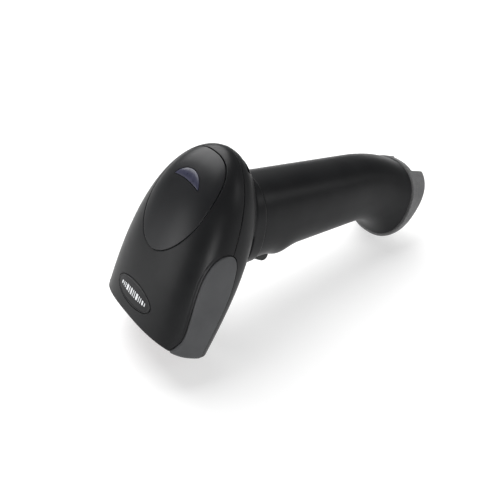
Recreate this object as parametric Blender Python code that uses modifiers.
"""A corded handheld barcode scanner, lying on a table on its nose and the toe of its handle.

The head frame is the frame of design: X across, Y from the nose to the rear of the head, Z out of
the top cover. The handle frame sits in it at the neck (Y down the handle, Z to its back), and the
foot frame sits in that at the end of the handle (Y out of the end, Z to the back).
"""

import math

import bmesh
import bpy
from mathutils import Matrix, Vector

MM = 0.001
GAP = 0.3 * MM  # between pieces that touch

# Head: a rounded shell that swells towards the middle and closes at the rear
HEAD_LENGTH = 89.4 * MM
HEAD_HALF_WIDTH = 31.9 * MM
HEAD_SWELL = 2.7 * MM  # how much the half-width gains along the head before it closes
CROWN_NOSE = 16.9 * MM  # height of the cover over the seam, at the nose and towards the rear
CROWN_REAR = 26.6 * MM
BELLY_NOSE = 21.4 * MM  # depth of the lower housing under the seam
BELLY_SWELL = 2.5 * MM
SECTION_POWER = 2.6  # superellipse power of a cross-section
NOSE_SLOPE = 0.13  # the nose plane leans, its lower lip ahead
SHELL_WALL = 2.4 * MM
RING = 32
STATIONS = 16

# Side bumpers
BUMPER_PROUD = 0.7 * MM
BUMPER_DEPTH = 1.1 * MM  # how far a bumper is let into the shell
BUMPER_INNER_X = 28.0 * MM
BUMPER_OUTLINE = [  # along the head, above the seam
    (-4.0, 16.0), (1.5, 13.8), (5.5, 9.8), (10.5, 7.8), (20.0, 9.0), (30.0, 10.6), (38.0, 11.4),
    (44.0, 11.0), (49.0, 9.5), (52.5, 6.5), (53.6, 3.8), (52.0, 0.6), (47.5, -2.0),
    (41.5, -3.6), (33.5, -6.2), (25.0, -8.0), (17.5, -8.6), (8.0, -8.6), (-4.0, -8.6),
]

# Panel, status lens and badge on the cover
PANEL_CENTRE = 62.0 * MM
PANEL_HALF_LENGTH = 24.0 * MM
PANEL_HALF_WIDTH = 19.5 * MM
PANEL_DEPTH = 1.0 * MM
PANEL_PROUD = 0.2 * MM
LENS_CENTRE = 66.0 * MM  # centre of the crescent's outer arc
LENS_OUTER_RADIUS = 10.0 * MM
LENS_RISE = 32.6 * MM  # how far the inner arc's centre is set towards the nose
LENS_DEPTH = SHELL_WALL + 2.1 * MM
BADGE_CENTRE = 11.8 * MM
BADGE_HALF_WIDTH = 14.2 * MM
BADGE_HALF_LENGTH = 6.2 * MM
BADGE_DEPTH = 0.7 * MM

# Neck and handle
NECK_FROM_REAR = 34.2 * MM  # the handle's axis meets the neck point, measured from the rear
NECK_DEPTH = 16.9 * MM
HANDLE_ANGLE = 68.7  # degrees between the head's axis and the handle's
NECK_HALF_DEPTH = 22.4 * MM
NECK_HALF_WIDTH = 17.6 * MM
HANDLE_TAPER_DEPTH = 4.85  # per cent of the length
HANDLE_TAPER_WIDTH = 2.05
HANDLE_POWER = 2.3
HANDLE_START = 10.0 * MM  # where the grip's own shell begins
HANDLE_LENGTH = 113.3 * MM  # from the neck point to the middle of the foot
GRIP_WALL = 2.2 * MM
COLLAR_START = 3.5 * MM
COLLAR_PROUD = 0.5 * MM
SPIGOT_LENGTH = 5.0 * MM
SPIGOT_WALL = 1.5 * MM
FLARE_LENGTH = 33.0 * MM
FOOT_FORWARD = 11.3 * MM
FOOT_TILT = 12.3  # degrees
FOOT_HALF_DEPTH = 22.4 * MM
FOOT_HALF_WIDTH = 20.9 * MM
LIP_PROUD = 3.0 * MM  # the rest under the trigger, for the finger
LIP_SPREAD = 6.0 * MM
HANDLE_RING = 28

# Trigger
TRIGGER_HALF_WIDTH = 7.0 * MM
TRIGGER_SIDE_GAP = 0.5 * MM
TRIGGER_PIVOT = (4.0 * MM, -13.0 * MM)  # down the handle, towards the back
TRIGGER_TIP = 25.6 * MM
TRIGGER_OPENING_END = 28.2 * MM
PIN_RADIUS = 1.0 * MM
EAR_THICKNESS = 1.8 * MM
HUB_RADIUS = 3.2 * MM
PRESS_FOOT = 19.0 * MM  # where the trigger meets the switch, down the handle
PLUNGER_FRONT = -12.3 * MM
PLUNGER_RADIUS = 1.2 * MM
PLUNGER_LENGTH = 2.9 * MM
SWITCH_DEPTH = 3.7 * MM
SWITCH_BOARD_FACE = -6.0 * MM
SPRING_PLACE = 24.1 * MM
SPRING_RADIUS = 1.9 * MM
SPRING_WIRE = 0.3 * MM
SPRING_TURNS = 5

# End cap
CAP_PROUD = 0.8 * MM
CAP_WALL = 2.2 * MM
CAP_TOE = 2.6 * MM  # its height at the toe, and what it gains towards the back
CAP_RISE = 10.6 * MM
CAP_RISE_POWER = 1.3
CAP_SPIGOT = 4.5 * MM
VALLEY_HALF_WIDTH = 10.5 * MM
VALLEY_FLOOR = 3.0 * MM
VALLEY_END = -4.5 * MM
JACK_CENTRE = 4.2 * MM
JACK_HOLE = (11.8 * MM, 8.6 * MM)  # across, and along the foot
JACK_SIZE = (15.6 * MM, 15.6 * MM, 13.4 * MM)
JACK_HOLE_DEPTH = 6.0 * MM
CAP_SCREW_PLACE = -9.0 * MM

# Window and imaging engine
WINDOW_BORDER = (8.5 * MM, 6.75 * MM)  # from the shell's inner wall to the opening, across and up
WINDOW_RIM = 1.7 * MM
WINDOW_HEIGHT = -2.0 * MM  # its middle, measured from the seam
FRAME_RECESS = 1.6 * MM
FRAME_THICKNESS = 2.8 * MM
GASKET_THICKNESS = 0.8 * MM
WINDOW_THICKNESS = 1.2 * MM
ENGINE_SIZE = (24.0 * MM, 18.0 * MM, 20.0 * MM)
ENGINE_WALL = 2.0 * MM
LAMP_SIZE = (3.2 * MM, 1.5 * MM, 3.2 * MM)
LAMP_SPACING = (18.0 * MM, 13.0 * MM)
BARREL_RADIUS = 5.0 * MM
BOARD_THICKNESS = 1.2 * MM
ENGINE_POST = (15.5 * MM, 5.0 * MM)  # beside the engine's middle, and behind its front

# Main board, in the head
MAIN_BOARD_SIZE = (32.0 * MM, 36.0 * MM)
MAIN_BOARD_HEIGHT = 6.0 * MM
MAIN_BOARD_FROM_REAR = 17.4 * MM
MAIN_BOARD_THICKNESS = 1.6 * MM
COVER_SCREW_PLACE = (19.0 * MM, 25.0 * MM)  # to each side, from the nose
SCREW_RADIUS = 1.2 * MM

engine_front = FRAME_RECESS + FRAME_THICKNESS + GASKET_THICKNESS + WINDOW_THICKNESS + 5.0 * MM
main_board_rear = HEAD_LENGTH - MAIN_BOARD_FROM_REAR
main_board_middle = main_board_rear - MAIN_BOARD_SIZE[1] / 2
neck_place = HEAD_LENGTH - NECK_FROM_REAR


# ---------------------------------------------------------------- scene and materials

for old in list(bpy.data.objects):
    bpy.data.objects.remove(old, do_unlink=True)

parts = bpy.data.collections.new("barcode_scanner")
bpy.context.scene.collection.children.link(parts)
cutters = bpy.data.collections.new("cutters")
bpy.context.scene.collection.children.link(cutters)


def finish_of(name, colour, roughness, metallic=0.0, alpha=1.0):
    """A plain Principled material."""
    made = bpy.data.materials.new(name)
    made.use_nodes = True
    shader = made.node_tree.nodes["Principled BSDF"]
    shader.inputs["Base Color"].default_value = (*colour, 1.0)
    shader.inputs["Roughness"].default_value = roughness
    shader.inputs["Metallic"].default_value = metallic
    shader.inputs["Alpha"].default_value = alpha
    return made


FINISHES = {
    "black_shell": finish_of("black_shell", (0.022, 0.023, 0.026), 0.42),
    "panel_black": finish_of("panel_black", (0.018, 0.019, 0.024), 0.35),
    "lens_smoke": finish_of("lens_smoke", (0.05, 0.05, 0.12), 0.2),
    "badge_black": finish_of("badge_black", (0.01, 0.01, 0.011), 0.3),
    "bumper_rubber": finish_of("bumper_rubber", (0.075, 0.078, 0.082), 0.65),
    "trigger_grey": finish_of("trigger_grey", (0.03, 0.033, 0.033), 0.5),
    "cap_grey": finish_of("cap_grey", (0.17, 0.17, 0.18), 0.7),
    "window_glass": finish_of("window_glass", (0.35, 0.05, 0.06), 0.05, alpha=0.5),
    "seal_rubber": finish_of("seal_rubber", (0.02, 0.02, 0.02), 0.8),
    "board_green": finish_of("board_green", (0.02, 0.12, 0.05), 0.5),
    "chip_black": finish_of("chip_black", (0.015, 0.015, 0.016), 0.4),
    "lamp_white": finish_of("lamp_white", (0.85, 0.8, 0.55), 0.3),
    "metal_dark": finish_of("metal_dark", (0.25, 0.25, 0.26), 0.35, 1.0),
    "steel": finish_of("steel", (0.6, 0.6, 0.62), 0.3, 1.0),
    "lens_glass": finish_of("lens_glass", (0.1, 0.1, 0.2), 0.02),
}


def frame(name, parent, place, turn):
    """An empty, turned about X by turn radians and placed in its parent."""
    made = bpy.data.objects.new(name, None)
    made.location = place
    made.rotation_euler = (turn, 0, 0)
    made.parent = parent
    parts.objects.link(made)
    return made


# ---------------------------------------------------------------- places of the frames


def turned(point, degrees):
    """A (y, z) pair turned about the X axis."""
    angle = math.radians(degrees)
    y, z = point
    return y * math.cos(angle) - z * math.sin(angle), y * math.sin(angle) + z * math.cos(angle)


def from_handle(y, z):
    """A point of the handle frame in the head frame."""
    dy, dz = turned((y, z), -HANDLE_ANGLE)
    return neck_place + dy, -NECK_DEPTH + dz


def from_foot(y, z):
    """A point of the foot frame in the head frame."""
    dy, dz = turned((y, z), -FOOT_TILT)
    return from_handle(HANDLE_LENGTH + dy, -FOOT_FORWARD + dz)


lip_point = (-NOSE_SLOPE * BELLY_NOSE, -BELLY_NOSE)
toe_point = from_foot(CAP_TOE, -FOOT_HALF_DEPTH - CAP_PROUD)
rest_angle = math.atan2(lip_point[1] - toe_point[1], toe_point[0] - lip_point[0])

head = frame("scanner", None, (0, 0, 0), rest_angle)
nose = frame("nose_frame", head, (0, 0, 0), -math.atan(NOSE_SLOPE))
handle = frame("handle_frame", head, (0, neck_place, -NECK_DEPTH), -math.radians(HANDLE_ANGLE))
foot = frame("foot_frame", handle, (0, HANDLE_LENGTH, -FOOT_FORWARD), -math.radians(FOOT_TILT))


# ---------------------------------------------------------------- modelling helpers


def add(name, work, parent, finish=None):
    """Makes the bmesh an object: a piece if it has a finish, otherwise a cutter."""
    bmesh.ops.recalc_face_normals(work, faces=work.faces)
    mesh = bpy.data.meshes.new(name)
    work.to_mesh(mesh)
    work.free()
    made = bpy.data.objects.new(name, mesh)
    made.parent = parent
    if finish:
        mesh.materials.append(FINISHES[finish])
        mesh.shade_smooth()
        mesh.set_sharp_from_angle(angle=math.radians(35))
        parts.objects.link(made)
    else:
        made.hide_render = True
        made.display_type = "WIRE"
        cutters.objects.link(made)
    return made


def boolean(piece, other, operation="DIFFERENCE"):
    """Cuts, joins or intersects piece with other."""
    step = piece.modifiers.new(operation.lower() + "_" + other.name, "BOOLEAN")
    step.operation = operation
    step.object = other
    step.solver = "EXACT"
    return piece


def loft(name, rings, parent, finish=None):
    """A closed solid through rings of equal length, with flat ends."""
    work = bmesh.new()
    rows = [[work.verts.new(point) for point in ring] for ring in rings]
    for low, high in zip(rows, rows[1:]):
        for i in range(len(low)):
            j = (i + 1) % len(low)
            work.faces.new((low[i], low[j], high[j], high[i]))
    work.faces.new(rows[0])
    work.faces.new(rows[-1])
    return add(name, work, parent, finish)


def tube(name, outer, inner, parent, finish=None):
    """A tube between a list of outer rings and a list of inner rings."""
    work = bmesh.new()
    path = [[work.verts.new(point) for point in ring] for ring in outer + inner[::-1]]
    for low, high in zip(path, path[1:] + path[:1]):
        for i in range(len(low)):
            j = (i + 1) % len(low)
            work.faces.new((low[i], low[j], high[j], high[i]))
    return add(name, work, parent, finish)


def block(name, low, high, parent, finish=None, round_edges=0.0):
    """A box between two corners."""
    work = bmesh.new()
    size = [b - a for a, b in zip(low, high)]
    middle = [(a + b) / 2 for a, b in zip(low, high)]
    matrix = Matrix.Translation(middle) @ Matrix.Diagonal((*size, 1.0))
    bmesh.ops.create_cube(work, size=1.0, matrix=matrix)
    made = add(name, work, parent, finish)
    if round_edges:
        bevel = made.modifiers.new("rounded_edges", "BEVEL")
        bevel.width = round_edges
        bevel.segments = 2
    return made


def rod(name, radius, start, end, parent, finish=None, sides=16):
    """A cylinder from start to end."""
    start, end = Vector(start), Vector(end)
    along = end - start
    matrix = Matrix.Translation((start + end) / 2) @ along.to_track_quat("Z", "Y").to_matrix().to_4x4()
    work = bmesh.new()
    bmesh.ops.create_cone(
        work, cap_ends=True, segments=sides, radius1=radius, radius2=radius, depth=along.length,
        matrix=matrix,
    )
    return add(name, work, parent, finish)


def screw(name, radius, head_radius, tip, seat, parent):
    """A pan-head screw whose shank runs from the tip to the seat of its head."""
    tip, seat = Vector(tip), Vector(seat)
    out = (seat - tip).normalized()
    head_height = radius * 1.3
    rings = []
    turn = out.to_track_quat("Z", "Y")
    profile = [(radius, tip), (radius, seat), (head_radius, seat), (head_radius, seat + out * head_height)]
    for size, centre in profile:
        ring = []
        for k in range(14):
            angle = 2 * math.pi * k / 14
            ring.append(centre + turn @ Vector((size * math.cos(angle), size * math.sin(angle), 0)))
        rings.append(ring)
    return loft(name, rings, parent, "steel")


def slab(name, outline, low_x, high_x, parent, finish=None):
    """A (y, z) outline, extruded along X."""
    work = bmesh.new()
    face = work.faces.new([work.verts.new((low_x, y, z)) for y, z in outline])
    grown = bmesh.ops.extrude_face_region(work, geom=[face])
    moved = [v for v in grown["geom"] if isinstance(v, bmesh.types.BMVert)]
    bmesh.ops.translate(work, verts=moved, vec=(high_x - low_x, 0, 0))
    return add(name, work, parent, finish)


def plug(name, outline, low, high, parent, finish=None, axis="Z"):
    """An outline across the piece, extruded along Z (outline in x, y) or along Y (outline in x, z)."""
    work = bmesh.new()
    if axis == "Z":
        points = [(x, y, low) for x, y in outline]
        shift = (0, 0, high - low)
    else:
        points = [(x, low, z) for x, z in outline]
        shift = (0, high - low, 0)
    face = work.faces.new([work.verts.new(point) for point in points])
    grown = bmesh.ops.extrude_face_region(work, geom=[face])
    moved = [v for v in grown["geom"] if isinstance(v, bmesh.types.BMVert)]
    bmesh.ops.translate(work, verts=moved, vec=shift)
    return add(name, work, parent, finish)


def ellipse(centre, half_x, half_y, count=36):
    """Points of an ellipse."""
    cx, cy = centre
    steps = [2 * math.pi * (k + 0.5) / count for k in range(count)]
    return [(cx + half_x * math.cos(a), cy + half_y * math.sin(a)) for a in steps]


def signed_power(value, power):
    return math.copysign(abs(value) ** power, value)


# ---------------------------------------------------------------- forms of the head and the handle


def closing(share, power):
    """The curve by which the head closes towards its rear."""
    return math.sqrt(max(0.0, 1.0 - min(max(share, 0.0), 1.0) ** power))


def head_ring(y, grow):
    """The head's cross-section at y, offset outwards by grow."""
    share = y / (HEAD_LENGTH + grow)
    along = max(y, 0.0) / HEAD_LENGTH
    width = (HEAD_HALF_WIDTH + grow + HEAD_SWELL * along) * closing(share, 2.8)
    crown = (CROWN_NOSE + grow + (CROWN_REAR - CROWN_NOSE) * along) * closing(share, 2.1)
    belly = (BELLY_NOSE + grow + BELLY_SWELL * along) * closing(share, 2.9)
    lean = NOSE_SLOPE * min(max(1.0 - y / (0.4 * HEAD_LENGTH), 0.0), 1.0)
    ring = []
    for k in range(RING):
        angle = 2 * math.pi * (k + 0.5) / RING
        height = crown if math.cos(angle) > 0 else belly
        z = height * signed_power(math.cos(angle), 2 / SECTION_POWER)
        x = width * signed_power(math.sin(angle), 2 / SECTION_POWER)
        ring.append((x, y + lean * z, z))
    return ring


def head_form(name, grow, start):
    """The whole head as one solid, offset by grow, from start to its closed rear."""
    end = HEAD_LENGTH + grow
    rings = []
    for k in range(STATIONS):
        share = 1 - (1 - k / (STATIONS - 1)) ** 1.9
        rings.append(head_ring(start + (end * 0.9988 - start) * share, grow))
    return loft(name, rings, head)


def handle_sizes(y):
    """Half-depth, half-width, middle and tilt of the handle at y."""
    depth = NECK_HALF_DEPTH - HANDLE_TAPER_DEPTH / 100 * y
    width = NECK_HALF_WIDTH - HANDLE_TAPER_WIDTH / 100 * y
    end_depth = NECK_HALF_DEPTH - HANDLE_TAPER_DEPTH / 100 * HANDLE_LENGTH
    end_width = NECK_HALF_WIDTH - HANDLE_TAPER_WIDTH / 100 * HANDLE_LENGTH
    share = min(max(1 - (HANDLE_LENGTH - y) / FLARE_LENGTH, 0.0), 1.0)
    flare = share ** 2.2
    depth += (FOOT_HALF_DEPTH - end_depth) * flare
    width += (FOOT_HALF_WIDTH - end_width) * flare
    return depth, width, -FOOT_FORWARD * flare, math.radians(-FOOT_TILT) * flare


def handle_ring(y, grow, forward_lip=True):
    """The handle's cross-section whose middle is at y, offset outwards by grow."""
    depth, width, middle, tilt = handle_sizes(y)
    lip = LIP_PROUD * math.exp(-(((y - TRIGGER_OPENING_END) / LIP_SPREAD) ** 2)) if forward_lip else 0
    ring = []
    for k in range(HANDLE_RING):
        angle = 2 * math.pi * (k + 0.5) / HANDLE_RING
        x = (width + grow) * signed_power(math.sin(angle), 2 / HANDLE_POWER)
        z = (depth + grow) * signed_power(math.cos(angle), 2 / HANDLE_POWER)
        if z < 0:
            z += lip * (z / depth)
        ring.append((x, y - z * math.sin(tilt), middle + z * math.cos(tilt)))
    return ring


def handle_stations(start):
    """Places along the handle, closer together at the lip and along the flare."""
    flare_start = HANDLE_LENGTH - FLARE_LENGTH
    lip = [TRIGGER_OPENING_END + LIP_SPREAD * k for k in (-1.2, -0.5, 0.1, 0.8, 1.6)]
    flare = [flare_start + FLARE_LENGTH * k / 7 for k in range(8)]
    middle = (lip[-1] + flare_start) / 2
    return [start] + [y for y in lip if y > start + 2 * MM] + [middle] + flare


# ---------------------------------------------------------------- head shells and bumpers

skin = head_form("head_skin", 0.0, 0.0)
cavity = head_form("head_cavity", -SHELL_WALL, -6 * MM)
bumper_outer = head_form("bumper_outer", BUMPER_PROUD, -BUMPER_PROUD)
bumper_inner = head_form("bumper_inner", -BUMPER_DEPTH, BUMPER_DEPTH)
pocket_inner = head_form("pocket_inner", -BUMPER_DEPTH - GAP, BUMPER_DEPTH + GAP)

big = 2 * HEAD_LENGTH
above_seam = block("above_seam", (-big, -big, -GAP / 2), (big, big, big), head)
below_seam = block("below_seam", (-big, -big, -big), (big, big, GAP / 2), head)


def bumper_slab(name, side, grow):
    """The side outline of a bumper as a slab, for the bumper itself or its pocket."""
    outline = [(y * MM, z * MM) for y, z in BUMPER_OUTLINE]
    if grow:
        middle = (sum(y for y, z in outline) / len(outline), sum(z for y, z in outline) / len(outline))
        outline = [
            (y + math.copysign(grow, y - middle[0]), z + math.copysign(grow, z - middle[1]))
            for y, z in outline
        ]
    low, high = BUMPER_INNER_X - grow, HEAD_HALF_WIDTH * 1.6
    if side < 0:
        low, high = -high, -low
    return slab(name, outline, low, high, head)


pockets = []
for side, word in ((-1, "left"), (1, "right")):
    bumper = head_form("bumper_" + word, BUMPER_PROUD, -BUMPER_PROUD)
    cutters.objects.unlink(bumper)
    parts.objects.link(bumper)
    bumper.hide_render = False
    bumper.display_type = "TEXTURED"
    bumper.data.materials.append(FINISHES["bumper_rubber"])
    bumper.data.shade_smooth()
    bumper.data.set_sharp_from_angle(angle=math.radians(35))
    boolean(bumper, bumper_slab("bumper_side_" + word, side, 0.0), "INTERSECT")
    boolean(bumper, bumper_inner)
    pocket = bumper_slab("pocket_" + word, side, GAP)
    boolean(pocket, pocket_inner)
    pockets.append(pocket)


def shell_of(name, finish):
    """A copy of the head's outer form, as a visible piece."""
    made = bpy.data.objects.new(name, skin.data.copy())
    made.parent = head
    made.data.name = name
    made.data.materials.append(FINISHES[finish])
    made.data.shade_smooth()
    made.data.set_sharp_from_angle(angle=math.radians(35))
    parts.objects.link(made)
    return made


screw_x, screw_y = COVER_SCREW_PLACE
post_x = ENGINE_POST[0]
post_y = engine_front + ENGINE_POST[1]
boss_radius = SCREW_RADIUS + 1.8 * MM
board_bottom = MAIN_BOARD_HEIGHT
board_top = MAIN_BOARD_HEIGHT + MAIN_BOARD_THICKNESS
board_screw_y = main_board_rear - MAIN_BOARD_SIZE[1] + 5 * MM
board_screw_x = MAIN_BOARD_SIZE[0] / 2 - 4 * MM


def crown_at(x, y):
    """Height of the cover's outer surface over the seam."""
    share = y / HEAD_LENGTH
    width = (HEAD_HALF_WIDTH + HEAD_SWELL * share) * closing(share, 2.8)
    crown = (CROWN_NOSE + (CROWN_REAR - CROWN_NOSE) * share) * closing(share, 2.1)
    return crown * (1 - min(abs(x) / width, 1.0) ** SECTION_POWER) ** (1 / SECTION_POWER)


def belly_at(x, y):
    """Depth of the lower housing's outer surface under the seam."""
    share = y / HEAD_LENGTH
    width = (HEAD_HALF_WIDTH + HEAD_SWELL * share) * closing(share, 2.8)
    belly = (BELLY_NOSE + BELLY_SWELL * share) * closing(share, 2.9)
    return belly * (1 - min(abs(x) / width, 1.0) ** SECTION_POWER) ** (1 / SECTION_POWER)


def crescent(grow):
    """The status lens: an arc whose ends taper, bowed towards the rear."""
    outer = LENS_OUTER_RADIUS + grow
    reach = math.radians(66)
    points = []
    for k in range(13):
        angle = -reach + 2 * reach * k / 12
        points.append((outer * math.sin(angle), LENS_CENTRE + outer * math.cos(angle)))
    tip_x, tip_y = points[-1]
    inner_centre = LENS_CENTRE - LENS_RISE
    inner = math.hypot(tip_x, tip_y - inner_centre)
    end = math.atan2(tip_x, tip_y - inner_centre)
    inner -= 2 * grow
    for k in range(13):
        angle = end * 0.94 - 2 * end * 0.94 * k / 12
        points.append((inner * math.sin(angle), inner_centre + inner * math.cos(angle)))
    return points


cover = shell_of("top_cover", "black_shell")
boolean(cover, below_seam)
boolean(cover, cavity)
for side, word in ((-1, "left"), (1, "right")):
    top = crown_at(screw_x, screw_y) - SHELL_WALL / 2
    boss = rod("cover_boss_" + word, boss_radius, (side * screw_x, screw_y, GAP / 2),
               (side * screw_x, screw_y, top), head)
    boolean(cover, boss, "UNION")
    hole = rod("cover_boss_hole_" + word, SCREW_RADIUS + GAP, (side * screw_x, screw_y, -5 * MM),
               (side * screw_x, screw_y, 9 * MM), head)
    boolean(cover, hole)
    top = crown_at(board_screw_x, board_screw_y) - SHELL_WALL / 2
    boss = rod("board_boss_" + word, 2.4 * MM, (side * board_screw_x, board_screw_y, board_top + GAP),
               (side * board_screw_x, board_screw_y, top), head)
    boolean(cover, boss, "UNION")
    hole = rod("board_boss_hole_" + word, 1.2 * MM, (side * board_screw_x, board_screw_y, board_top - MM),
               (side * board_screw_x, board_screw_y, board_top + 6 * MM), head)
    boolean(cover, hole)
for pocket in pockets:
    boolean(cover, pocket)

panel_outer = head_form("panel_outer", PANEL_PROUD, 0.0)
panel_inner = head_form("panel_inner", -PANEL_DEPTH, -MM)
recess_inner = head_form("recess_inner", -PANEL_DEPTH - GAP, -MM)
lens_inner = head_form("lens_inner", -LENS_DEPTH, -MM)
panel_centre = (0, PANEL_CENTRE)
panel_low = 1.5 * MM
panel_top = 2 * CROWN_REAR
recess = plug("panel_recess", ellipse(panel_centre, PANEL_HALF_WIDTH + GAP, PANEL_HALF_LENGTH + GAP),
              panel_low - GAP, panel_top, head)
boolean(recess, recess_inner)
boolean(cover, recess)
lens_hole = plug("lens_hole", crescent(GAP), panel_low, panel_top, head)
boolean(cover, lens_hole)
panel = plug("top_panel", ellipse(panel_centre, PANEL_HALF_WIDTH, PANEL_HALF_LENGTH), panel_low,
             panel_top, head, "panel_black")
boolean(panel, panel_outer, "INTERSECT")
boolean(panel, panel_inner)
boolean(panel, lens_hole)
lens = plug("status_lens", crescent(0.0), panel_low, panel_top, head, "lens_smoke")
boolean(lens, panel_outer, "INTERSECT")
boolean(lens, lens_inner)

badge_inner = head_form("badge_inner", -BADGE_DEPTH, -MM)
badge_floor = head_form("badge_floor", -BADGE_DEPTH - GAP, -MM)
badge_centre = (0, BADGE_CENTRE + NOSE_SLOPE * CROWN_NOSE * 0.7)
hole = plug("badge_recess", ellipse(badge_centre, BADGE_HALF_WIDTH + GAP, BADGE_HALF_LENGTH + GAP),
            MM, panel_top, head)
boolean(hole, badge_floor)
boolean(cover, hole)
badge = plug("badge", ellipse(badge_centre, BADGE_HALF_WIDTH, BADGE_HALF_LENGTH), MM, panel_top,
             head, "badge_black")
boolean(badge, skin, "INTERSECT")
boolean(badge, badge_inner)


# ---------------------------------------------------------------- lower housing with its neck


def neck_ring(y, grow):
    return handle_ring(y, grow, forward_lip=False)


neck_top = -14 * MM
neck = loft("neck", [neck_ring(y, COLLAR_PROUD) for y in (neck_top, COLLAR_START, HANDLE_START)], handle)
spigot_grow = -GRIP_WALL - GAP
spigot = loft("spigot", [neck_ring(y, spigot_grow) for y in (0.0, HANDLE_START + SPIGOT_LENGTH)], handle)
bore_grow = spigot_grow - SPIGOT_WALL
neck_bore = loft("neck_bore", [neck_ring(y, bore_grow) for y in (neck_top - 3 * MM, HANDLE_START * 3)],
                 handle)

lower = shell_of("lower_housing", "black_shell")
boolean(lower, neck, "UNION")
boolean(lower, spigot, "UNION")
boolean(lower, above_seam)
boolean(lower, cavity)
boolean(lower, neck_bore)

pivot_y, pivot_z = TRIGGER_PIVOT
opening_half = TRIGGER_HALF_WIDTH + TRIGGER_SIDE_GAP
front = -NECK_HALF_DEPTH
ear_outline = [
    (pivot_y - 3 * MM, front + 4 * MM), (pivot_y + 4.5 * MM, front + 4 * MM),
    (pivot_y + 3 * MM, pivot_z + 2.5 * MM), (pivot_y, pivot_z + 3.2 * MM),
    (pivot_y - 2.4 * MM, pivot_z + 2.5 * MM),
]
for side, word in ((-1, "left"), (1, "right")):
    inner_x, outer_x = sorted((side * (opening_half + 0.2 * MM), side * (opening_half + EAR_THICKNESS)))
    boolean(lower, slab("ear_" + word, ear_outline, inner_x, outer_x, handle), "UNION")
    floor = -belly_at(screw_x, screw_y) + SHELL_WALL / 2
    boss = rod("housing_boss_" + word, boss_radius, (side * screw_x, screw_y, floor),
               (side * screw_x, screw_y, -GAP / 2), head)
    boolean(lower, boss, "UNION")
    post_floor = -belly_at(post_x, post_y) + SHELL_WALL / 2
    post_top = WINDOW_HEIGHT - ENGINE_SIZE[2] / 2 - GAP
    post = rod("engine_post_" + word, 2.3 * MM, (side * post_x, post_y, post_floor),
               (side * post_x, post_y, post_top), head)
    boolean(lower, post, "UNION")
    hole = rod("engine_post_hole_" + word, 1.1 * MM, (side * post_x, post_y, post_top - 4.5 * MM),
               (side * post_x, post_y, post_top + 3 * MM), head)
    boolean(lower, hole)
    hole = rod("housing_hole_" + word, SCREW_RADIUS + GAP, (side * screw_x, screw_y, floor - 9 * MM),
               (side * screw_x, screw_y, 4 * MM), head)
    boolean(lower, hole)
    seat = floor + 4 * MM
    hole = rod("housing_counterbore_" + word, 2 * SCREW_RADIUS + GAP, (side * screw_x, screw_y, -big / 3),
               (side * screw_x, screw_y, seat), head)
    boolean(lower, hole)
    screw("cover_screw_" + word, SCREW_RADIUS, 2 * SCREW_RADIUS, (side * screw_x, screw_y, 7.5 * MM),
          (side * screw_x, screw_y, seat - GAP), head)
    boolean(lower, pockets[0 if side < 0 else 1])

boolean(lower, rod("pin_hole", PIN_RADIUS + GAP, (-14 * MM, pivot_y, pivot_z), (14 * MM, pivot_y, pivot_z),
                   handle))
trigger_opening = block("trigger_opening", (-opening_half, 0.6 * MM, -60 * MM),
                        (opening_half, TRIGGER_OPENING_END, front + 8 * MM), handle)
boolean(lower, trigger_opening)
slot_height = -9.0 * MM
sound_slot = block("sound_slot", (-7 * MM, HEAD_LENGTH * 0.8, slot_height - MM),
                   (7 * MM, HEAD_LENGTH * 1.2, slot_height + MM), head, round_edges=0.6 * MM)
boolean(lower, sound_slot)


# ---------------------------------------------------------------- grip and end cap

stations = handle_stations(HANDLE_START + GAP)
grip = tube("handle_grip", [handle_ring(y, 0.0) for y in stations],
            [handle_ring(y, -GRIP_WALL) for y in stations], handle, "black_shell")
boss = rod("cap_boss", 3.2 * MM, (0, -14 * MM, CAP_SCREW_PLACE), (0, -CAP_SPIGOT - 2 * GAP, CAP_SCREW_PLACE),
           foot)
web = block("cap_boss_web", (-1.2 * MM, -13 * MM, CAP_SCREW_PLACE - 5.2 * MM),
            (1.2 * MM, -CAP_SPIGOT - 2 * GAP, CAP_SCREW_PLACE), foot)
boolean(boss, web, "UNION")
boolean(grip, boss, "UNION")
boolean(grip, rod("cap_boss_hole", SCREW_RADIUS + GAP, (0, -13 * MM, CAP_SCREW_PLACE),
                  (0, 3 * MM, CAP_SCREW_PLACE), foot))
boolean(grip, trigger_opening)


def cap_height(z, wall):
    """How far the cap stands out of the foot at z, less a wall."""
    reach = FOOT_HALF_DEPTH + CAP_PROUD
    share = min(max((z + reach) / (1.76 * reach), 0.0), 1.25)
    return CAP_TOE + CAP_RISE * share ** CAP_RISE_POWER - wall


def foot_ring(y, scale, grow):
    """The foot's outline at y, scaled about its middle and offset by grow."""
    ring = []
    for k in range(HANDLE_RING):
        angle = 2 * math.pi * (k + 0.5) / HANDLE_RING
        x = scale * (FOOT_HALF_WIDTH + grow) * signed_power(math.sin(angle), 2 / HANDLE_POWER)
        z = scale * (FOOT_HALF_DEPTH + grow) * signed_power(math.cos(angle), 2 / HANDLE_POWER)
        ring.append((x, y, z))
    return ring


def cap_form(name, start, grow, wall, finish=None):
    """The cap without its valley: sides up to a slanted and slightly hollow end."""
    rings = [foot_ring(start, 1.0, grow)]
    for scale in (1.0, 0.93, 0.7, 0.4, 0.08):
        drop = 0.9 * MM if scale == 1.0 else 0.0
        ring = foot_ring(0.0, scale, grow)
        rings.append([(x, cap_height(z, wall) - drop, z) for x, y, z in ring])
    return loft(name, rings, foot, finish)


def cap_spigot(name, extra, grow):
    """The part of the cap that goes into the handle, which narrows away from the foot."""
    low, high = HANDLE_LENGTH - CAP_SPIGOT - extra, HANDLE_LENGTH + 1.2 * MM
    rings = [handle_ring(low + (high - low) * k / 3, grow, forward_lip=False) for k in range(4)]
    return loft(name, rings, handle)


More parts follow.
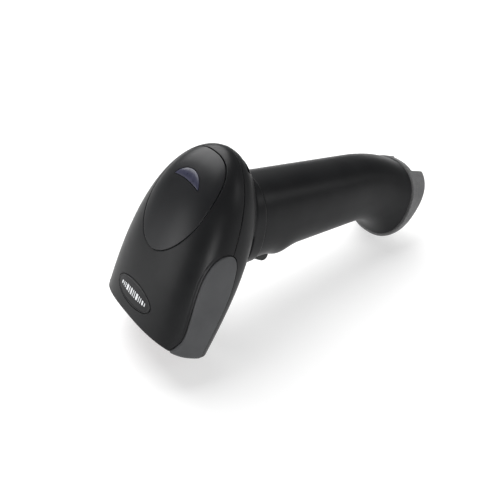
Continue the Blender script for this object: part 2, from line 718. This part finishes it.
def valley(name, grow):
    """The channel for the cable: straight out of the back, round where it ends."""
    radius = VALLEY_HALF_WIDTH + grow
    middle = VALLEY_END + VALLEY_HALF_WIDTH
    outline = [(radius, 60 * MM), (-radius, 60 * MM)]
    for k in range(13):
        angle = math.pi + math.pi * k / 12
        outline.append((radius * math.cos(angle), middle + radius * math.sin(angle)))
    return plug(name, outline, VALLEY_FLOOR - grow, 60 * MM, foot, axis="Y")


cap = cap_form("end_cap", GAP, CAP_PROUD, 0.0, "cap_grey")
boolean(cap, cap_spigot("cap_spigot", 0.0, -GRIP_WALL - GAP), "UNION")
hollow = cap_form("cap_hollow", -GAP, -GRIP_WALL - GAP - SPIGOT_WALL, CAP_WALL)
boolean(hollow, cap_spigot("cap_spigot_bore", 3 * MM, -GRIP_WALL - GAP - SPIGOT_WALL), "UNION")
boolean(hollow, valley("valley_wall", CAP_WALL * 0.8))
boolean(hollow, rod("cap_screw_wall", 3.4 * MM, (0, -CAP_SPIGOT - 4 * MM, CAP_SCREW_PLACE),
                    (0, 30 * MM, CAP_SCREW_PLACE), foot))
boolean(cap, hollow)
boolean(cap, valley("cable_valley", 0.0))
jack_w, jack_h = JACK_HOLE
jack_way = block("jack_way", (-jack_w / 2 - GAP, -2 * MM, JACK_CENTRE - jack_h / 2 - GAP),
                 (jack_w / 2 + GAP, 9 * MM, JACK_CENTRE + jack_h / 2 + GAP), foot)
boolean(cap, jack_way)
boolean(cap, rod("cap_screw_hole", SCREW_RADIUS + GAP, (0, -20 * MM, CAP_SCREW_PLACE),
                 (0, 20 * MM, CAP_SCREW_PLACE), foot))
cap_seat = 0.5 * MM
boolean(cap, rod("cap_counterbore", 2 * SCREW_RADIUS + GAP, (0, cap_seat, CAP_SCREW_PLACE),
                 (0, 20 * MM, CAP_SCREW_PLACE), foot))
screw("end_cap_screw", SCREW_RADIUS, 2 * SCREW_RADIUS, (0, -11 * MM, CAP_SCREW_PLACE),
      (0, cap_seat + GAP, CAP_SCREW_PLACE), foot)

# Cable socket and its board
size_x, size_z, depth = JACK_SIZE
jack_front = VALLEY_FLOOR - CAP_WALL * 0.8 - GAP
jack = block("cable_socket", (-size_x / 2, jack_front - depth, JACK_CENTRE - size_z / 2),
             (size_x / 2, jack_front, JACK_CENTRE + size_z / 2), foot, "chip_black")
boolean(jack, block("jack_hole", (-jack_w / 2, jack_front - JACK_HOLE_DEPTH, JACK_CENTRE - jack_h / 2),
                    (jack_w / 2, jack_front + 5 * MM, JACK_CENTRE + jack_h / 2), foot))
socket_board_front = jack_front - depth - GAP
block("socket_board", (-10 * MM, socket_board_front - BOARD_THICKNESS, JACK_CENTRE - 8.5 * MM),
      (10 * MM, socket_board_front, JACK_CENTRE + 8.5 * MM), foot, "board_green")


# ---------------------------------------------------------------- trigger and switch

trigger_frame = frame("trigger_frame", handle, (0, pivot_y, pivot_z), 0.0)
hub = [
    (HUB_RADIUS * math.cos(a), HUB_RADIUS * math.sin(a))
    for a in [math.radians(d) for d in (10, 45, 80, 115, 150, 180)]
]
tip = TRIGGER_TIP - pivot_y
press = PRESS_FOOT - pivot_y
face = front - pivot_z  # the front of the neck, seen from the pivot
trigger_outline = [
    (-2.6 * MM, face + 1.6 * MM), (4 * MM, face + 1.1 * MM), (9 * MM, face + 0.2 * MM),
    (13 * MM, face - 1.2 * MM), (tip - 5.6 * MM, face - 2.9 * MM), (tip - 3.4 * MM, face - 3.7 * MM),
    (tip - 1.4 * MM, face - 3.0 * MM), (tip, face - 0.6 * MM), (tip, face + 4.0 * MM),
    (press + 1.5 * MM, face + 4.0 * MM), (press + 1.5 * MM, PLUNGER_FRONT - pivot_z - GAP),
    (press - 1.5 * MM, PLUNGER_FRONT - pivot_z - GAP), (press - 1.5 * MM, -2.2 * MM),
    (press - 8.0 * MM, -2.2 * MM),
] + hub
trigger = slab("trigger", trigger_outline, -TRIGGER_HALF_WIDTH, TRIGGER_HALF_WIDTH, trigger_frame,
               "trigger_grey")
bore = rod("trigger_bore", PIN_RADIUS + GAP, (-12 * MM, 0, 0), (12 * MM, 0, 0), trigger_frame)
boolean(trigger, bore)
pin_end = opening_half + EAR_THICKNESS
rod("trigger_pin", PIN_RADIUS, (-pin_end, 0, 0), (pin_end, 0, 0), trigger_frame, "steel")

switch_front = SWITCH_BOARD_FACE - GAP - SWITCH_DEPTH
switch = block("trigger_switch", (-3.2 * MM, PRESS_FOOT - 2.6 * MM, switch_front),
               (3.2 * MM, PRESS_FOOT + 2.6 * MM, SWITCH_BOARD_FACE - GAP), handle, "chip_black")
boolean(switch, rod("plunger_guide", PLUNGER_RADIUS + GAP, (0, PRESS_FOOT, switch_front - MM),
                    (0, PRESS_FOOT, SWITCH_BOARD_FACE - 1.1 * MM), handle))
plunger_frame = frame("plunger_frame", handle, (0, PRESS_FOOT, PLUNGER_FRONT), 0.0)
rod("switch_plunger", PLUNGER_RADIUS, (0, 0, 0), (0, 0, PLUNGER_LENGTH), plunger_frame, "lamp_white")
board_y = (HANDLE_START + SPIGOT_LENGTH + 1 * MM, PRESS_FOOT + 14 * MM)
grip_inside = NECK_HALF_WIDTH - HANDLE_TAPER_WIDTH / 100 * board_y[1] - GRIP_WALL
block("switch_board", (-grip_inside + 1.6 * MM, board_y[0], SWITCH_BOARD_FACE),
      (grip_inside - 1.6 * MM, board_y[1], SWITCH_BOARD_FACE + BOARD_THICKNESS), handle, "board_green")

spring_start = front + 4.0 * MM + 2 * GAP
spring_length = SWITCH_BOARD_FACE - GAP - SPRING_WIRE - spring_start - SPRING_WIRE
curve = bpy.data.curves.new("trigger_spring", "CURVE")
curve.dimensions = "3D"
curve.bevel_depth = SPRING_WIRE
curve.bevel_resolution = 1
curve.use_fill_caps = True
wire = curve.splines.new("POLY")
count = 10 * SPRING_TURNS
wire.points.add(count)
for k in range(count + 1):
    angle = 2 * math.pi * SPRING_TURNS * k / count
    place = (SPRING_RADIUS * math.cos(angle), SPRING_RADIUS * math.sin(angle), spring_length * k / count)
    wire.points[k].co = (*place, 1.0)
curve.materials.append(FINISHES["steel"])
spring = bpy.data.objects.new("trigger_spring", curve)
spring.location = (0, SPRING_PLACE, spring_start + SPRING_WIRE)
spring.parent = handle
parts.objects.link(spring)


# ---------------------------------------------------------------- window and imaging engine


def nose_outline(grow):
    """The inside of the nose, as a flat outline."""
    points = []
    for k in range(RING):
        angle = 2 * math.pi * (k + 0.5) / RING
        height = CROWN_NOSE if math.cos(angle) > 0 else BELLY_NOSE
        x = (HEAD_HALF_WIDTH + grow) * signed_power(math.sin(angle), 2 / SECTION_POWER)
        z = (height + grow) * signed_power(math.cos(angle), 2 / SECTION_POWER)
        points.append((x, z))
    return points


def pane(name, half_x, half_z, start, thickness, finish=None):
    """A plate parallel to the nose plane."""
    return block(name, (-half_x, start, WINDOW_HEIGHT - half_z),
                 (half_x, start + thickness, WINDOW_HEIGHT + half_z), nose, finish)


half_w = HEAD_HALF_WIDTH - SHELL_WALL - WINDOW_BORDER[0]
half_h = (CROWN_NOSE + BELLY_NOSE) / 2 - SHELL_WALL - WINDOW_BORDER[1]
window_frame = plug("window_frame", nose_outline(-SHELL_WALL - GAP), FRAME_RECESS,
                    FRAME_RECESS + FRAME_THICKNESS, nose, "black_shell", axis="Y")
window_hole = pane("window_hole", half_w, half_h, -5 * MM, 30 * MM)
boolean(window_frame, window_hole)
place = FRAME_RECESS + FRAME_THICKNESS + GAP
gasket = pane("window_gasket", half_w + WINDOW_RIM, half_h + WINDOW_RIM, place, GASKET_THICKNESS,
              "seal_rubber")
boolean(gasket, window_hole)
place += GASKET_THICKNESS + GAP
pane("window", half_w + WINDOW_RIM, half_h + WINDOW_RIM, place, WINDOW_THICKNESS, "window_glass")

engine_w, engine_l, engine_h = ENGINE_SIZE
low_z, high_z = WINDOW_HEIGHT - engine_h / 2, WINDOW_HEIGHT + engine_h / 2
chassis = block("engine_chassis", (-engine_w / 2, engine_front, low_z),
                (engine_w / 2, engine_front + engine_l, high_z), head, "metal_dark")
boolean(chassis, block("engine_room", (-engine_w / 2 + ENGINE_WALL, engine_front - MM, low_z + ENGINE_WALL),
                       (engine_w / 2 - ENGINE_WALL, engine_front + engine_l - ENGINE_WALL,
                        high_z - ENGINE_WALL), head))
for side, word in ((-1, "left"), (1, "right")):
    inner_x, outer_x = sorted((side * (engine_w / 2 - MM), side * (post_x + 2.6 * MM)))
    ear = block("engine_ear_" + word, (inner_x, post_y - 2.6 * MM, low_z),
                (outer_x, post_y + 2.6 * MM, low_z + 1.6 * MM), head)
    boolean(chassis, ear, "UNION")
    boolean(chassis, rod("engine_ear_hole_" + word, 1.1 * MM, (side * post_x, post_y, low_z - 2 * MM),
                         (side * post_x, post_y, low_z + 4 * MM), head))
    screw("engine_screw_" + word, 0.8 * MM, 1.8 * MM, (side * post_x, post_y, low_z - 4.2 * MM),
          (side * post_x, post_y, low_z + 1.6 * MM + GAP), head)
barrel_end = engine_front + engine_l - GAP
boolean(chassis, rod("barrel_way", BARREL_RADIUS + GAP, (0, barrel_end - 6 * MM, WINDOW_HEIGHT),
                     (0, barrel_end + 6 * MM, WINDOW_HEIGHT), head, sides=24))
barrel_front = engine_front + 3.5 * MM
barrel = rod("lens_barrel", BARREL_RADIUS, (0, barrel_front, WINDOW_HEIGHT), (0, barrel_end, WINDOW_HEIGHT),
             head, "metal_dark", sides=24)
boolean(barrel, rod("barrel_bore", BARREL_RADIUS - 1.2 * MM, (0, barrel_front - MM, WINDOW_HEIGHT),
                    (0, barrel_front + 4 * MM, WINDOW_HEIGHT), head, sides=24))
rod("engine_lens", BARREL_RADIUS - 1.2 * MM - GAP, (0, barrel_front + 1.5 * MM, WINDOW_HEIGHT),
    (0, barrel_front + 3.6 * MM, WINDOW_HEIGHT), head, "lens_glass", sides=24)
sensor_front = engine_front + engine_l + GAP
block("sensor_board", (-10 * MM, sensor_front, WINDOW_HEIGHT - 7 * MM),
      (10 * MM, sensor_front + BOARD_THICKNESS, WINDOW_HEIGHT + 7 * MM), head, "board_green")
lamp_board_front = engine_front - GAP - BOARD_THICKNESS
lamp_board = block("lamp_board", (-engine_w / 2, lamp_board_front, low_z),
                   (engine_w / 2, lamp_board_front + BOARD_THICKNESS, high_z), head, "board_green")
boolean(lamp_board, rod("lamp_board_hole", BARREL_RADIUS + MM, (0, lamp_board_front - 3 * MM, WINDOW_HEIGHT),
                        (0, lamp_board_front + 4 * MM, WINDOW_HEIGHT), head, sides=24))
lamp_number = 0
for x in (-LAMP_SPACING[0] / 2, LAMP_SPACING[0] / 2):
    for z in (-LAMP_SPACING[1] / 2, LAMP_SPACING[1] / 2):
        lamp_number += 1
        middle = WINDOW_HEIGHT + z
        rear = lamp_board_front - GAP
        block("lamp_%d" % lamp_number, (x - LAMP_SIZE[0] / 2, rear - LAMP_SIZE[1], middle - LAMP_SIZE[2] / 2),
              (x + LAMP_SIZE[0] / 2, rear, middle + LAMP_SIZE[2] / 2), head, "lamp_white")


# ---------------------------------------------------------------- main board and what is on it

board_half = MAIN_BOARD_SIZE[0] / 2
board_front = main_board_rear - MAIN_BOARD_SIZE[1]
main_board = block("main_board", (-board_half, board_front, board_bottom),
                   (board_half, main_board_rear, board_top), head, "board_green")
for side, word in ((-1, "left"), (1, "right")):
    boolean(main_board, rod("board_hole_" + word, 1.2 * MM,
                            (side * board_screw_x, board_screw_y, board_bottom - 2 * MM),
                            (side * board_screw_x, board_screw_y, board_top + 2 * MM), head))
    screw("board_screw_" + word, 0.9 * MM, 1.9 * MM,
          (side * board_screw_x, board_screw_y, board_top + 5.4 * MM),
          (side * board_screw_x, board_screw_y, board_bottom - GAP), head)
on_board = board_top + GAP
block("processor", (-6 * MM, main_board_middle - 6 * MM, on_board),
      (6 * MM, main_board_middle + 6 * MM, on_board + 1.4 * MM), head, "chip_black")
block("memory_chip", (-14 * MM, main_board_middle + 1 * MM, on_board),
      (-7.5 * MM, main_board_middle + 9 * MM, on_board + MM), head, "chip_black")
block("status_led", (-1.6 * MM, main_board_rear - 5 * MM, on_board),
      (1.6 * MM, main_board_rear - 3 * MM, on_board + MM), head, "lamp_white")
under_board = board_bottom - GAP
rod("sounder", 5 * MM, (3 * MM, main_board_rear - 8 * MM, under_board - 5 * MM),
    (3 * MM, main_board_rear - 8 * MM, under_board), head, "chip_black", sides=24)
plug_front = main_board_middle - 7 * MM
block("board_connector", (-6 * MM, plug_front, under_board - 4 * MM), (6 * MM, plug_front + 5 * MM, under_board),
      head, "lamp_white")


def ribbon(name, points, thickness, half_width, finish):
    """A flat cable of constant thickness along points in the middle plane of the head frame."""
    left, right = [], []
    for k, point in enumerate(points):
        before = Vector(points[max(k - 1, 0)])
        after = Vector(points[min(k + 1, len(points) - 1)])
        along = (after - before).normalized()
        across = Vector((-along.y, along.x)) * thickness / 2
        left.append(tuple(Vector(point) + across))
        right.append(tuple(Vector(point) - across))
    return slab(name, left + right[::-1], -half_width, half_width, head, finish)


socket_end = from_foot(socket_board_front - BOARD_THICKNESS - GAP, JACK_CENTRE + 2 * MM)
approach = from_foot(socket_board_front - BOARD_THICKNESS - 6 * MM, JACK_CENTRE + 2 * MM)
plug_bottom = (plug_front + 2.5 * MM, under_board - 4 * MM - GAP)
route = [
    plug_bottom,
    (plug_bottom[0], plug_bottom[1] - 4 * MM),
    (plug_bottom[0] + 2 * MM, plug_bottom[1] - 7 * MM),
    from_handle(-2 * MM, 2 * MM),
    from_handle(8 * MM, 5 * MM),
    from_handle(20 * MM, 7 * MM),
    from_handle(HANDLE_LENGTH * 0.5, 6 * MM),
    approach,
    socket_end,
]
ribbon("internal_cable", route, 0.8 * MM, 4 * MM, "seal_rubber")


# ---------------------------------------------------------------- set it down on the table

bpy.context.view_layer.update()
graph = bpy.context.evaluated_depsgraph_get()
corners = []
for piece in parts.objects:
    if piece.type == "EMPTY":
        continue
    shape = piece.evaluated_get(graph)
    mesh = shape.to_mesh()
    corners += [shape.matrix_world @ point.co for point in mesh.vertices]
    shape.to_mesh_clear()
low_y, high_y = min(c.y for c in corners), max(c.y for c in corners)
head.location = (0, -(low_y + high_y) / 2, -min(c.z for c in corners))
bpy.context.view_layer.update()
